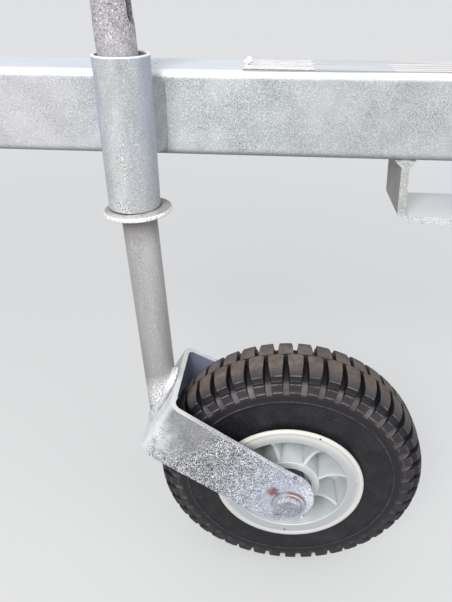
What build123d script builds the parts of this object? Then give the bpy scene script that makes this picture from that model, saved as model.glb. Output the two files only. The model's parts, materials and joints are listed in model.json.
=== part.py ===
from build123d import *
from math import cos, radians, sin, sqrt, tan
import os

# A jockey wheel in its sleeve on a length of trailer drawbar.
# Frame: millimetres, +Z up, X along the drawbar, the wheel on its near side (-Y).
# The origin is the middle of the drawbar's far face, level with the sleeve.

# Sleeve: a tube welded upright to the drawbar's near face
sleeve_radius = 32.5
sleeve_wall = 3.2
sleeve_top_z = 71.4
sleeve_foot_z = -103.4
sleeve_root_gap = 0.4
sleeve_weld_toe = 8.5
sleeve_weld_root = 2
sleeve_weld_wrap = 0.95
sleeve_weld_crown = 1.2
sleeve_weld_end_round = 6
tube_edge_chamfer = 0.6

# Stem: a tube that hangs loose in the sleeve and leans in it
stem_radius = 22.5
stem_wall = 3.6
stem_lean_left = 2.98
stem_lean_back = 2.69
stem_above_sleeve = 120
slot_width = 24
slot_length = 52
slot_above_sleeve = 26

# Collar: a ring welded round the stem, which carries the sleeve
collar_radius = 43.3
collar_thickness = 6
collar_edge_round = 2.1
collar_clearance = 0.5
collar_weld_leg = 5

# Tyre, out to the tops of its lugs
tyre_radius = 203.1
tyre_half_width = 50.2
tread_flat_half = 22
lug_edge_drop = 8.1
lug_edge_inset = 9.7
lug_foot_drop = 31
lug_count = 45
groove_depth = 8
groove_width = 7
groove_foot_rise = 2
groove_turn = 3.5
centre_rib_half = 2.5

# Wheel centre, from the point where the stem crosses the sleeve's axis
wheel_trail = 192.6
wheel_drop = 515.4

# Fork: a flat bar bent to a U, its arms sloping down to the axle
web_clearance = 16.2
web_side_clearance = 17.2
axle_side_clearance = 33.2
fork_plate = 8
fork_slope = 32.37
fork_web_back = tyre_radius + web_clearance
fork_web_half = tyre_half_width + web_side_clearance
fork_axle_half = tyre_half_width + axle_side_clearance
fork_knee_back = 50
fork_knee_radius = 200
fork_bend_radius = 9
fork_edge_round = 0.8
fork_top_edge = 50.4
fork_bottom_edge = 48.5
fork_end_radius = 47.5
fork_end_back = 15
fork_weld_leg = 8
fork_weld_taper = 40

# Axle bolt with its washers, nut and spacer tubes
bolt_radius = 11
bolt_head_flats = 32
bolt_head_height = 8
bolt_nut_height = 13
bolt_thread_out = 7
bolt_end_chamfer = 1.5
bolt_hole_clearance = 0.5
hexagon_chamfer = 60
washer_radius = 24
washer_thickness = 3
spacer_radius = 17
spacer_clearance = 0.4

# Rim: one moulding with a web disc and scooped ribs on both sides
rim_radius = 112
rim_proud = 10
rim_face = tyre_half_width + rim_proud
rim_bead_width = 8
rim_bead_height = 2
rim_flange_undercut = 7
rim_bead_radius = rim_radius - rim_bead_width
rim_barrel_radius = 99
rim_barrel_wall = 11
rim_lip_radius = rim_barrel_radius - rim_barrel_wall
rim_web_half = 4
rim_draft = 2
rim_edge = 1
rim_root_radius = 5
rim_rib_count = 8
rim_rib_thickness = 5
rim_rib_drop = 3
rim_rib_scoop = 6
rim_rib_turn = -13.5
rim_rib_bite = 2
hub_radius = 46.5
hub_face = rim_face - 4.5
hub_recess_radius = 34.5
hub_recess_depth = 15
bush_radius = 19
bush_length = 27
bush_flange_radius = 25
bush_flange = 4
bush_clearance = 0.06

# Valve, in the pocket that the near arm hides
valve_radius = 5.5
valve_foot_radius = 8
valve_foot = 5
valve_length = 34
valve_cap_radius = 4.2
valve_cap = 10
valve_lean = 40
valve_out = 18

# Under-bracket: a wide flat bar bent to a U below the drawbar
bracket_left_x = 329
bracket_width = 130
bracket_bar = 10
bracket_depth = 88
bracket_drop = 81
bracket_bend_radius = 8
bracket_leg_lean = 4.5
bracket_weld_leg = 8

# Drawbar: square hollow section
drawbar_side = 100
drawbar_wall = 5
drawbar_corner = 10
drawbar_front_x = -260
drawbar_past_bracket = 81
drawbar_rear_x = bracket_left_x + bracket_width + drawbar_past_bracket

# Places worked out from the sizes above
near_face_y = -drawbar_side
sleeve_y = near_face_y - sleeve_root_gap - sleeve_radius
sleeve_mid_z = (sleeve_top_z + sleeve_foot_z) / 2
lean_point = Vector(0, sleeve_y, sleeve_mid_z)
stem_up = Vector(-tan(radians(stem_lean_left)), tan(radians(stem_lean_back)), 1).normalized()
axle_dir = (Vector(0, -1, 0) - stem_up * Vector(0, -1, 0).dot(stem_up)).normalized()
trail_dir = stem_up.cross(axle_dir)
wheel_centre = lean_point + trail_dir * wheel_trail - stem_up * wheel_drop
arm_dir = trail_dir * cos(radians(fork_slope)) - stem_up * sin(radians(fork_slope))
arm_up = trail_dir * sin(radians(fork_slope)) + stem_up * cos(radians(fork_slope))

stem_axis = Axis(lean_point, stem_up)
axle_axis = Axis(wheel_centre, axle_dir)

# Local +X is forwards in each of these, and +Z is the axis named
stem_plane = Plane(origin=lean_point, x_dir=trail_dir, z_dir=stem_up)
axle_plane = Plane(origin=wheel_centre, x_dir=arm_dir, z_dir=axle_dir)
wheel_plane = Plane(origin=wheel_centre, x_dir=trail_dir, z_dir=axle_dir)
# Local X is the radius and local Y the width of the wheel
wheel_section = Plane(origin=wheel_centre, x_dir=trail_dir, z_dir=-stem_up)
# Local X runs along the arms to the axle, and local Y across the fork
fork_profile = Plane(origin=wheel_centre, x_dir=arm_dir, z_dir=arm_up)
web_outer = Plane(
    origin=wheel_centre - arm_dir * (fork_web_back + fork_plate), x_dir=arm_up, z_dir=-arm_dir
)

os.makedirs("parts", exist_ok=True)


# Drawbar
with BuildPart() as drawbar:
    with BuildSketch(Plane.YZ.offset(drawbar_front_x)):
        with Locations((-drawbar_side / 2, 0)):
            RectangleRounded(drawbar_side, drawbar_side, drawbar_corner)
            RectangleRounded(
                drawbar_side - 2 * drawbar_wall,
                drawbar_side - 2 * drawbar_wall,
                drawbar_corner - drawbar_wall,
                mode=Mode.SUBTRACT,
            )
    extrude(amount=drawbar_rear_x - drawbar_front_x)
drawbar.part.label = "drawbar"
export_step(drawbar.part, "parts/drawbar.step")


# Sleeve
with BuildPart() as sleeve:
    with BuildSketch(Plane.XY.offset(sleeve_foot_z)):
        with Locations((0, sleeve_y)):
            Circle(sleeve_radius)
            Circle(sleeve_radius - sleeve_wall, mode=Mode.SUBTRACT)
    extrude(amount=sleeve_top_z - sleeve_foot_z)
    chamfer(sleeve.faces().sort_by(Axis.Z)[-1].edges(), tube_edge_chamfer)
sleeve.part.label = "sleeve"
export_step(sleeve.part, "parts/sleeve.step")


# Two upright fillet welds fill the corners between sleeve and drawbar, rounded off at their ends
weld_root_x = sqrt(sleeve_radius**2 - (sleeve_radius - sleeve_root_gap - sleeve_weld_root) ** 2)
weld_toe_x = sleeve_radius + sleeve_weld_toe
weld_tube_x = sleeve_radius * sleeve_weld_wrap
weld_tube_y = sleeve_y + sqrt(sleeve_radius**2 - weld_tube_x**2)
weld_foot_z = -drawbar_side / 2 + drawbar_corner
weld_top_z = drawbar_side / 2 - drawbar_corner
with BuildPart() as sleeve_welds:
    for side in (-1, 1):
        with BuildSketch(Plane.XY.offset(weld_foot_z)):
            with BuildLine():
                bead = SagittaArc(
                    (side * weld_toe_x, near_face_y),
                    (side * weld_tube_x, weld_tube_y),
                    side * sleeve_weld_crown,
                )
                Polyline(
                    bead @ 1,
                    (side * weld_root_x, weld_tube_y),
                    (side * weld_root_x, near_face_y),
                    bead @ 0,
                )
            make_face()
            with Locations((0, sleeve_y)):
                Circle(sleeve_radius, mode=Mode.SUBTRACT)
        extrude(amount=weld_top_z - weld_foot_z)
    with BuildSketch(Plane.XZ.offset(drawbar_side)):
        RectangleRounded(2 * weld_toe_x, weld_top_z - weld_foot_z, sleeve_weld_end_round)
    extrude(amount=sleeve_radius, mode=Mode.INTERSECT)
sleeve_welds.part.label = "sleeve_welds"
export_step(sleeve_welds.part, "parts/sleeve_welds.step")


# Under-bracket, as one bent strip seen from the near side
bracket_foot_z = -drawbar_side / 2 - bracket_drop
bracket_lean = tan(radians(bracket_leg_lean))
bracket_across = bracket_bar / cos(radians(bracket_leg_lean))
bracket_right_x = bracket_left_x + bracket_width
bracket_outer_foot = bracket_drop * bracket_lean
bracket_inner_foot = bracket_across + (bracket_drop - bracket_bar) * bracket_lean
with BuildPart() as under_bracket:
    with BuildSketch(Plane.XZ.offset(drawbar_side)):
        with BuildLine():
            outer = FilletPolyline(
                (bracket_left_x, -drawbar_side / 2),
                (bracket_left_x + bracket_outer_foot, bracket_foot_z),
                (bracket_right_x - bracket_outer_foot, bracket_foot_z),
                (bracket_right_x, -drawbar_side / 2),
                radius=bracket_bend_radius + bracket_bar,
            )
            inner = FilletPolyline(
                (bracket_left_x + bracket_across, -drawbar_side / 2),
                (bracket_left_x + bracket_inner_foot, bracket_foot_z + bracket_bar),
                (bracket_right_x - bracket_inner_foot, bracket_foot_z + bracket_bar),
                (bracket_right_x - bracket_across, -drawbar_side / 2),
                radius=bracket_bend_radius,
            )
            Line(outer @ 0, inner @ 0)
            Line(outer @ 1, inner @ 1)
        make_face()
    extrude(amount=-bracket_depth)
under_bracket.part.label = "under_bracket"
export_step(under_bracket.part, "parts/under_bracket.step")


# Fillet welds inside and outside each leg of the bracket
with BuildPart() as bracket_welds:
    with BuildSketch(Plane.XZ.offset(drawbar_side)):
        for x, out, lean in (
            (bracket_left_x, -1, bracket_lean),
            (bracket_left_x + bracket_across, 1, bracket_lean),
            (bracket_right_x - bracket_across, -1, -bracket_lean),
            (bracket_right_x, 1, -bracket_lean),
        ):
            with BuildLine():
                Polyline(
                    (x, -drawbar_side / 2),
                    (x + out * bracket_weld_leg, -drawbar_side / 2),
                    (x + lean * bracket_weld_leg, -drawbar_side / 2 - bracket_weld_leg),
                    close=True,
                )
            make_face()
    extrude(amount=-bracket_depth)
bracket_welds.part.label = "bracket_welds"
export_step(bracket_welds.part, "parts/bracket_welds.step")


# Stem, cut off along the fork's web at its foot
stem_top = sleeve_top_z - sleeve_mid_z + stem_above_sleeve
slot_foot = sleeve_top_z - sleeve_mid_z + slot_above_sleeve
with BuildPart() as stem:
    with BuildSketch(stem_plane.offset(-wheel_drop - fork_web_back)):
        Circle(stem_radius)
        Circle(stem_radius - stem_wall, mode=Mode.SUBTRACT)
    extrude(amount=stem_top + wheel_drop + fork_web_back)
    split(bisect_by=web_outer, keep=Keep.TOP)
    slot_plane = Plane(
        origin=lean_point + stem_up * (slot_foot + slot_length / 2), x_dir=stem_up, z_dir=trail_dir
    )
    with BuildSketch(slot_plane):
        SlotOverall(slot_length, slot_width)
    extrude(amount=stem_radius * 2, both=True, mode=Mode.SUBTRACT)
stem.part.label = "stem"
export_step(stem.part, "parts/stem.step")


# Collar, just clear of the sleeve's foot although it leans with the stem
lean_rise = sleeve_radius * sqrt(1 / stem_up.Z**2 - 1)
collar_top = (sleeve_foot_z - sleeve_mid_z - lean_rise - collar_clearance) * stem_up.Z
with BuildPart() as collar:
    with BuildSketch(stem_plane.offset(collar_top - collar_thickness)):
        Circle(collar_radius)
        Circle(stem_radius, mode=Mode.SUBTRACT)
    extrude(amount=collar_thickness)
    fillet(collar.edges().filter_by(GeomType.CIRCLE).sort_by(SortBy.RADIUS)[-2:], collar_edge_round)
collar.part.label = "collar"
export_step(collar.part, "parts/collar.step")


# Weld bead under the collar
with BuildPart() as collar_weld:
    with BuildSketch(stem_plane.offset(collar_top - collar_thickness - collar_weld_leg)):
        Circle(stem_radius)
    with BuildSketch(stem_plane.offset(collar_top - collar_thickness)):
        Circle(stem_radius + collar_weld_leg)
    loft()
    with BuildSketch(stem_plane.offset(collar_top - collar_thickness - collar_weld_leg)):
        Circle(stem_radius)
    extrude(amount=collar_weld_leg, mode=Mode.SUBTRACT)
collar_weld.part.label = "collar_weld"
export_step(collar_weld.part, "parts/collar_weld.step")


# Fork: the bent strip, then its side outline cut to the rounded ends
with BuildPart() as fork:
    with BuildSketch(fork_profile.offset(-fork_bottom_edge)):
        with BuildLine():
            inside = FilletPolyline(
                (fork_end_radius, -fork_axle_half),
                (-fork_knee_back, -fork_axle_half),
                (-fork_web_back, -fork_web_half),
                (-fork_web_back, fork_web_half),
                (-fork_knee_back, fork_axle_half),
                (fork_end_radius, fork_axle_half),
                radius=(fork_knee_radius, fork_bend_radius, fork_bend_radius, fork_knee_radius),
            )
            outside = FilletPolyline(
                (fork_end_radius, -fork_axle_half - fork_plate),
                (-fork_knee_back, -fork_axle_half - fork_plate),
                (-fork_web_back - fork_plate, -fork_web_half - fork_plate),
                (-fork_web_back - fork_plate, fork_web_half + fork_plate),
                (-fork_knee_back, fork_axle_half + fork_plate),
                (fork_end_radius, fork_axle_half + fork_plate),
                radius=(
                    fork_knee_radius,
                    fork_bend_radius + fork_plate,
                    fork_bend_radius + fork_plate,
                    fork_knee_radius,
                ),
            )
            Line(inside @ 0, outside @ 0)
            Line(inside @ 1, outside @ 1)
        make_face()
    extrude(amount=fork_bottom_edge + fork_top_edge)
    with BuildSketch(axle_plane):
        with BuildLine():
            end_centre_y = fork_top_edge - fork_end_radius
            Polyline(
                (-fork_end_back, fork_top_edge),
                (-fork_web_back - 2 * fork_plate, fork_top_edge),
                (-fork_web_back - 2 * fork_plate, -fork_bottom_edge),
                (-fork_web_back + 3 * fork_plate, -fork_bottom_edge),
                (-fork_end_back, end_centre_y - fork_end_radius),
            )
            ThreePointArc(
                (-fork_end_back, end_centre_y - fork_end_radius),
                (-fork_end_back + fork_end_radius, end_centre_y),
                (-fork_end_back, fork_top_edge),
            )
        make_face()
    extrude(amount=2 * fork_axle_half, both=True, mode=Mode.INTERSECT)
    upper_and_lower = fork.faces().sort_by(Axis(wheel_centre, arm_up))
    long_edges = upper_and_lower[-1].edges().filter_by(axle_axis, reverse=True)
    fillet(long_edges, fork_edge_round)
    with BuildSketch(axle_plane):
        Circle(bolt_radius + bolt_hole_clearance)
    extrude(amount=2 * fork_axle_half, both=True, mode=Mode.SUBTRACT)
fork.part.label = "fork"
export_step(fork.part, "parts/fork.step")


# Weld that runs round the stem's slanting foot on the web
foot_half_length = stem_radius / sin(radians(fork_slope))
foot_point = stem_axis.intersect(web_outer)
with BuildPart() as stem_weld:
    with BuildSketch(Plane(origin=foot_point, x_dir=arm_up, z_dir=-arm_dir)):
        Ellipse(foot_half_length + fork_weld_leg * 0.6, stem_radius + fork_weld_leg)
    extrude(amount=fork_weld_leg, taper=fork_weld_taper)
    with BuildSketch(stem_plane.offset(-wheel_drop - fork_web_back)):
        Circle(stem_radius)
    extrude(amount=stem_top + wheel_drop + fork_web_back, mode=Mode.SUBTRACT)
stem_weld.part.label = "stem_weld"
export_step(stem_weld.part, "parts/stem_weld.step")


# Axle bolt: hexagon head on the near side, its corners turned off to a cone
head_seat = fork_axle_half + fork_plate + washer_thickness
corner_radius = bolt_head_flats / 2 * 0.96
with BuildPart() as axle_bolt:
    with BuildSketch(axle_plane.offset(head_seat)):
        RegularPolygon(bolt_head_flats / 2, 6, major_radius=False)
    extrude(amount=bolt_head_height)
    with BuildSketch(axle_plane.offset(head_seat)):
        Circle(corner_radius + bolt_head_height * tan(radians(hexagon_chamfer)))
    extrude(amount=bolt_head_height, taper=hexagon_chamfer, mode=Mode.INTERSECT)
    with BuildSketch(axle_plane.offset(-head_seat - bolt_nut_height - bolt_thread_out)):
        Circle(bolt_radius)
    extrude(amount=2 * head_seat + bolt_nut_height + bolt_thread_out)
    thread_end = axle_bolt.edges().filter_by(GeomType.CIRCLE).sort_by(axle_axis)[0]
    chamfer(thread_end, bolt_end_chamfer)
axle_bolt.part.label = "axle_bolt"
export_step(axle_bolt.part, "parts/axle_bolt.step")


# Nut on the far side
with BuildPart() as axle_nut:
    with BuildSketch(axle_plane.offset(-head_seat)):
        RegularPolygon(bolt_head_flats / 2, 6, major_radius=False)
    extrude(amount=-bolt_nut_height)
    with BuildSketch(axle_plane.offset(-head_seat)):
        Circle(corner_radius + bolt_nut_height * tan(radians(hexagon_chamfer)))
    extrude(amount=-bolt_nut_height, taper=hexagon_chamfer, mode=Mode.INTERSECT)
    with BuildSketch(axle_plane.offset(-head_seat)):
        Circle(bolt_radius)
    extrude(amount=-bolt_nut_height, mode=Mode.SUBTRACT)
axle_nut.part.label = "axle_nut"
export_step(axle_nut.part, "parts/axle_nut.step")


# A washer outside each arm
for name, seat, way in (("washer_near", head_seat, -1), ("washer_far", -head_seat, 1)):
    with BuildPart() as washer:
        with BuildSketch(axle_plane.offset(seat)):
            Circle(washer_radius)
            Circle(bolt_radius + bolt_hole_clearance, mode=Mode.SUBTRACT)
        extrude(amount=way * washer_thickness)
    washer.part.label = name
    export_step(washer.part, f"parts/{name}.step")


# A spacer tube inside each arm, up to the hub's bush
spacer_length = fork_axle_half - (hub_face - hub_recess_depth + bush_flange) - spacer_clearance
for name, side in (("spacer_near", 1), ("spacer_far", -1)):
    with BuildPart() as spacer:
        with BuildSketch(axle_plane.offset(side * fork_axle_half)):
            Circle(spacer_radius)
            Circle(bolt_radius + bolt_hole_clearance, mode=Mode.SUBTRACT)
        extrude(amount=-side * spacer_length)
    spacer.part.label = name
    export_step(spacer.part, f"parts/{name}.step")


# Rim: bored hub, web disc, pocket, a lip whose rounded bead overhangs the tyre, and its seat
hub_seat = hub_face - hub_recess_depth
lip_face = rim_face - rim_bead_height
flange_radius = rim_radius - rim_flange_undercut
with BuildPart() as rim:
    with BuildSketch(wheel_section):
        with BuildLine():
            pocket = FilletPolyline(
                (hub_radius, hub_face - rim_edge),
                (hub_radius + rim_draft, rim_web_half),
                (rim_lip_radius - rim_draft, rim_web_half),
                (rim_lip_radius, lip_face - rim_edge),
                radius=rim_root_radius,
            )
            Polyline((hub_recess_radius, hub_face), (hub_radius - rim_edge, hub_face), pocket @ 0)
            Polyline(pocket @ 1, (rim_lip_radius + rim_edge, lip_face), (rim_bead_radius, lip_face))
            bead = ThreePointArc(
                (rim_bead_radius, lip_face),
                ((rim_bead_radius + rim_radius) / 2, rim_face),
                (rim_radius, lip_face - rim_bead_height),
            )
            Polyline(
                bead @ 1,
                (flange_radius, tyre_half_width),
                (rim_barrel_radius, tyre_half_width),
                (rim_barrel_radius, 0),
                (bush_radius, 0),
                (bush_radius, hub_seat),
                (hub_recess_radius, hub_seat),
                (hub_recess_radius, hub_face),
            )
        make_face()
        mirror(about=Plane.XZ)
    revolve(axis=axle_axis)
    rib_inner = hub_radius - rim_rib_bite
    rib_outer = rim_lip_radius + rim_rib_bite
    for rib in range(rim_rib_count):
        turn = rim_rib_turn + rib * 360 / rim_rib_count
        with BuildSketch(wheel_section.rotated((0, turn, 0))):
            with BuildLine():
                scoop = ThreePointArc(
                    (rib_inner, hub_face - rim_rib_drop),
                    ((rib_inner + rib_outer) / 2, hub_face - rim_rib_drop - rim_rib_scoop),
                    (rib_outer, lip_face - rim_rib_drop),
                )
                Polyline(scoop @ 1, (rib_outer, 0), (rib_inner, 0), scoop @ 0)
            make_face()
            mirror(about=Plane.XZ)
        extrude(amount=rim_rib_thickness / 2, both=True)
rim.part.label = "rim"
export_step(rim.part, "parts/rim.step")


# A bush pressed into each end of the hub's bore
for name, side in (("bush_near", 1), ("bush_far", -1)):
    with BuildPart() as bush:
        with BuildSketch(axle_plane.offset(side * hub_seat)):
            Circle(bush_flange_radius)
        extrude(amount=side * bush_flange)
        with BuildSketch(axle_plane.offset(side * hub_seat)):
            Circle(bush_radius)
        extrude(amount=-side * bush_length)
        with BuildSketch(axle_plane):
            Circle(bolt_radius + bush_clearance)
        extrude(amount=2 * rim_face, both=True, mode=Mode.SUBTRACT)
    bush.part.label = name
    export_step(bush.part, f"parts/{name}.step")


# Valve, leaning out of the rim's pocket between two ribs; its foot follows the pocket's wall
valve_turn = rim_rib_turn - 3.5 * 360 / rim_rib_count
valve_section = wheel_section.rotated((0, valve_turn, 0))
valve_in = valve_section.x_dir * -cos(radians(valve_lean))
valve_dir = valve_in + valve_section.y_dir * sin(radians(valve_lean))
valve_point = valve_section.from_local_coords((rim_lip_radius, valve_out))
valve_plane = Plane(origin=valve_point, x_dir=valve_section.z_dir, z_dir=valve_dir)
with BuildPart() as valve:
    with BuildSketch(valve_plane.offset(-valve_foot)):
        Circle(valve_foot_radius)
    extrude(amount=2 * valve_foot)
    with BuildSketch(valve_plane):
        Circle(valve_radius)
    extrude(amount=valve_length - valve_cap)
    with BuildSketch(valve_plane.offset(valve_length - valve_cap)):
        Circle(valve_cap_radius)
    extrude(amount=valve_cap)
    add(rim.part, mode=Mode.SUBTRACT)
valve.part.label = "valve"
export_step(valve.part, "parts/valve.step")


# One groove between two lugs, its floor in flats and its walls running to the axle;
# local +Z is the axle and +X the radius
floor_radius = tyre_radius - groove_depth
floor_half = tyre_half_width - groove_depth
lug_foot_radius = tyre_radius - lug_foot_drop
groove_reach = 1.1 * tyre_radius
with BuildPart() as groove:
    with BuildSketch(Plane.XZ):
        with BuildLine():
            Polyline(
                (floor_radius, -centre_rib_half),
                (floor_radius, -tread_flat_half),
                (floor_radius - lug_edge_drop, -floor_half + lug_edge_inset / 2),
                (lug_foot_radius + groove_foot_rise, -tyre_half_width),
                (groove_reach, -tyre_half_width - groove_depth),
                (groove_reach, -centre_rib_half),
                close=True,
            )
        make_face()
    extrude(amount=groove_width, both=True)
    with BuildSketch(Plane.XY):
        with BuildLine():
            half_angle = groove_width / tyre_radius / 2
            Polyline(
                (0, 0),
                (groove_reach, -groove_reach * tan(half_angle)),
                (groove_reach, groove_reach * tan(half_angle)),
                close=True,
            )
        make_face()
    extrude(amount=groove_reach, both=True, mode=Mode.INTERSECT)


# Tyre: revolved out to the tops of the lugs, then a row of grooves on each side of
# its centre, the far row half a pitch on
with BuildPart(wheel_plane) as tyre:
    with BuildSketch(wheel_section):
        with BuildLine():
            Polyline(
                (tyre_radius, 0),
                (tyre_radius, tread_flat_half),
                (tyre_radius - lug_edge_drop, tyre_half_width - lug_edge_inset),
                (lug_foot_radius, tyre_half_width),
                (rim_barrel_radius, tyre_half_width),
                (rim_barrel_radius, 0),
                close=True,
            )
        make_face()
        mirror(about=Plane.XZ)
    revolve(axis=axle_axis)
    with PolarLocations(0, lug_count, groove_turn):
        add(groove.part, mode=Mode.SUBTRACT)
    with PolarLocations(0, lug_count, groove_turn + 180 / lug_count):
        add(mirror(groove.part, about=Plane.XY, mode=Mode.PRIVATE), mode=Mode.SUBTRACT)
tyre.part.label = "tyre"
export_step(tyre.part, "parts/tyre.step")
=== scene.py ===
# A trailer's jockey wheel, its fork and stem, and the sleeve on the drawbar that carries them.
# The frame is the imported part's: metres, +Z up, X along the drawbar, the wheel on the -Y side.
import json
import math

import bpy
import numpy as np
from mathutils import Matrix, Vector


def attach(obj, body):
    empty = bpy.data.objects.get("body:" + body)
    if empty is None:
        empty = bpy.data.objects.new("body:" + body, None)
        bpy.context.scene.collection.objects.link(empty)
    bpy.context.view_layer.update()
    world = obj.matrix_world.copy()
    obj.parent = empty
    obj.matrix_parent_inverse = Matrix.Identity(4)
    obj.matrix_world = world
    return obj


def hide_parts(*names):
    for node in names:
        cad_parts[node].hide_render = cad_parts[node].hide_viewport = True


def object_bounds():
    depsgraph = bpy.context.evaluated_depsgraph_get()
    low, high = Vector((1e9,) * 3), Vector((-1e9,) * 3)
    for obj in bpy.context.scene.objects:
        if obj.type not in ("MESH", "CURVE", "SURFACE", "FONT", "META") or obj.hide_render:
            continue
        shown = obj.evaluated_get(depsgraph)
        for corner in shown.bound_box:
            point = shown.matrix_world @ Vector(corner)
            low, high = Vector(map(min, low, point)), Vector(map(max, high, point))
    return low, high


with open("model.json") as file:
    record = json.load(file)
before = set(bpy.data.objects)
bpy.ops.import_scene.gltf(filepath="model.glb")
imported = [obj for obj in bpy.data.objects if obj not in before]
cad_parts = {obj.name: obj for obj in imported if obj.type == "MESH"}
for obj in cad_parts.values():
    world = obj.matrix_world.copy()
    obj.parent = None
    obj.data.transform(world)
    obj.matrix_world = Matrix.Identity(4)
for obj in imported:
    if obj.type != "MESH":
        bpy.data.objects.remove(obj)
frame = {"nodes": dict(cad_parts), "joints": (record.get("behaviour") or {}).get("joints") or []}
cad_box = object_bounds()


# View: from in front of the drawbar, looking down at the wheel. Lens, tilt and place are those
# at which the drawbar, the stem and the wheel's ellipses fall where the photograph has them.
photo_height_px = 602
focal_length_px = 533.0
sensor_height_mm = 36.0
lens_at = (0.17295, -0.75839, 0.15224)
look_down_deg = 32.146
look_left_deg = 5.202
camera_data = bpy.data.cameras.new("photo_camera")
camera_data.sensor_fit = "VERTICAL"
camera_data.sensor_height = sensor_height_mm
camera_data.lens = focal_length_px / photo_height_px * sensor_height_mm
camera_data.clip_start = 0.02
camera = bpy.data.objects.new("photo_camera", camera_data)
camera.location = lens_at
camera.rotation_euler = (math.radians(90 - look_down_deg), 0, math.radians(look_left_deg))
bpy.context.collection.objects.link(camera)
bpy.context.scene.camera = camera


# Drawbar: a square hollow section of mild steel, dipped in molten zinc after welding.
# The zinc dries to pale grey with darker freckles, and its upper face is scored by use.
def linear(hex_colour):
    """Linear RGBA of an sRGB hex colour: each channel is ((c + 0.055) / 1.055) to the 2.4, or
    c / 12.92 where it is nearly black."""
    channels = [int(hex_colour[i : i + 2], 16) / 255 for i in (1, 3, 5)]
    return [c / 12.92 if c <= 0.04045 else ((c + 0.055) / 1.055) ** 2.4 for c in channels] + [1.0]


def add(tree, kind, sockets=None, **settings):
    """Adds a shader node, sets its properties, and fills its sockets with values or links."""
    node = tree.nodes.new("ShaderNode" + kind)
    for name, value in settings.items():
        setattr(node, name, value)
    for name, value in (sockets or {}).items():
        if isinstance(value, bpy.types.NodeSocket):
            tree.links.new(value, node.inputs[name])
        else:
            node.inputs[name].default_value = value
    return node


def new_material(name):
    """An empty node material: the material, its tree and a Principled shader at its output."""
    material = bpy.data.materials.new(name)
    material.use_nodes = True
    tree = material.node_tree
    tree.nodes.clear()
    output = tree.nodes.new("ShaderNodeOutputMaterial")
    shader = tree.nodes.new("ShaderNodeBsdfPrincipled")
    tree.links.new(shader.outputs[0], output.inputs[0])
    return material, tree, shader


def mask(tree, *parts):
    """How strongly a finish shows, from 0 to 1: the product of the parts. A part is a socket, a
    number, or (value, none, full), which is 0 where the value is at none, 1 where it is at full,
    straight between them and level beyond."""
    product = None
    for part in parts:
        if isinstance(part, tuple):
            value, none, full = part
            part = add(tree, "MapRange", {"Value": value, "From Min": none, "From Max": full}).outputs[0]
        if product is not None:
            part = add(tree, "Math", {0: product, 1: part}, operation="MULTIPLY").outputs[0]
        product = part
    return product


def layer(tree, shader, parts, hex_colour, roughness=None, metallic=None):
    """Lays a colour over what the shader has, as strongly as the mask of the parts says, and
    with it the finish that is given."""
    cover = mask(tree, *parts)
    laid = {"Base Color": linear(hex_colour), "Roughness": roughness, "Metallic": metallic}
    for name, value in laid.items():
        if value is None:
            continue
        # A Mix node has its own sockets for colours and for numbers
        kind, below, above, mixed = ("RGBA", 6, 7, 2) if name == "Base Color" else ("FLOAT", 2, 3, 0)
        mix = add(tree, "Mix", {0: cover, above: value}, data_type=kind)
        socket = shader.inputs[name]
        if socket.is_linked:
            tree.links.new(socket.links[0].from_socket, mix.inputs[below])
        else:
            mix.inputs[below].default_value = socket.default_value
        tree.links.new(mix.outputs[mixed], socket)


def facing(tree, direction):
    """How far the surface faces a direction at rest: the dot product of its normal and the
    direction. The normal is in the piece's own frame, so a mark stays on the piece as it turns."""
    normal = add(tree, "TexCoord").outputs["Normal"]
    return add(tree, "VectorMath", {0: normal, 1: tuple(direction)}, operation="DOT_PRODUCT").outputs["Value"]


def near(tree, place, point, inner, outer):
    """1 within inner metres of a point, fading to 0 at outer metres."""
    away = add(tree, "VectorMath", {0: place, 1: tuple(point)}, operation="DISTANCE")
    return mask(tree, (away.outputs["Value"], outer, inner))


def scratches(tree, place, stretch):
    """A noise drawn out along X, as scratches are: the place is multiplied by stretch, the waves
    in a metre along X, Y and Z. So 5 makes them 200 mm long, 12 makes them 83 mm long, and 230
    makes them 4.3 mm wide."""
    drawn = add(tree, "VectorMath", {0: place, 1: stretch}, operation="MULTIPLY").outputs[0]
    return add(tree, "TexNoise", {"Vector": drawn, "Scale": 1.0, "Detail": 4.0}).outputs["Fac"]


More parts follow.
